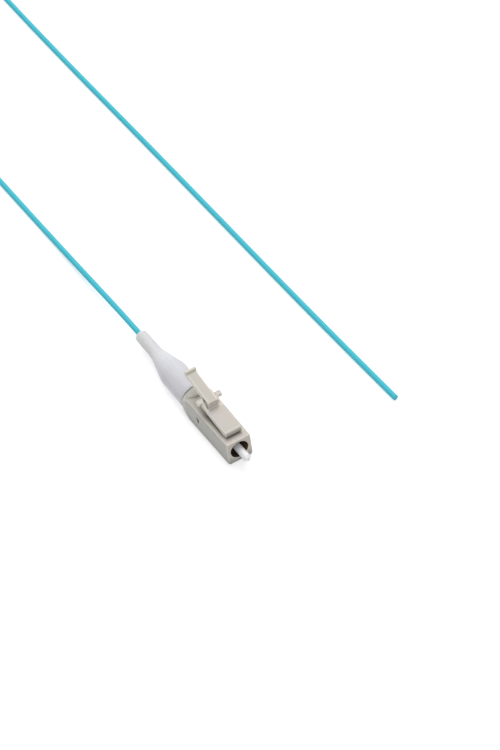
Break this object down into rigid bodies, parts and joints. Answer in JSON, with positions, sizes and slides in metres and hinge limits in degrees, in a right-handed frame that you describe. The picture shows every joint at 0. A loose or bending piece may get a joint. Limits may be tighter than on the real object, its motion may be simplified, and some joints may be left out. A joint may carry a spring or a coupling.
{
  "type": "lc fibre connector",
  "caption": "Simplex LC fibre-optic plug with a sprung latch, floating ceramic ferrule and slim boot, on a jacketed fibre pigtail with a cut end.",
  "frame": {"origin": "on the optical axis, in the plane of the plug's front face", "axes": "+X out of the nose along the ferrule, +Z towards the latch, +Y to the plug's left"},
  "size_m": [0.1454, 0.0279, 0.0086],
  "materials": {
    "housing_plastic": "satin moulded, warm beige grey",
    "ferrule_ceramic": "ground white zirconia",
    "holder_metal": "turned, nickel plated",
    "liner_plastic": "slippery, translucent white",
    "spring_steel": "drawn wire",
    "rear_body_plastic": "moulded, mid grey",
    "boot_rubber": "matt soft moulding, cool white",
    "fibre_glass": "clear, polished end",
    "fibre_coating": "thin clear coating",
    "fibre_jacket": "satin extruded, aqua"
  },
  "bodies": {
    "root": {"plug_housing": "housing_plastic", "rear_body": "rear_body_plastic", "strain_boot": "boot_rubber", "jacket_end": "fibre_jacket", "return_spring": "spring_steel", "fibre_out": "fibre_jacket", "fibre_coil": "fibre_jacket", "fibre_back": "fibre_jacket"},
    "latch": {"latch_lever": "housing_plastic"},
    "ferrule_set": {"ferrule": "ferrule_ceramic", "ferrule_holder": "holder_metal", "liner_tube": "liner_plastic", "glass_fibre": "fibre_glass", "coated_fibre": "fibre_coating"}
  },
  "joints": [
    {"name": "latch_press", "type": "hinge", "parent": "root", "child": "latch", "pos_m": [-0.0026, 0, 0.00235], "axis": [0, -1, 0], "range_deg": [0, 7.5], "stiffness_Nm_per_rad": 0.15},
    {"name": "ferrule_float", "type": "slide", "parent": "root", "child": "ferrule_set", "axis": [-1, 0, 0], "range_m": [0, 0.0008], "stiffness_N_per_m": 1200, "springref_m": -0.0015, "deforming": ["return_spring"]}
  ]
}
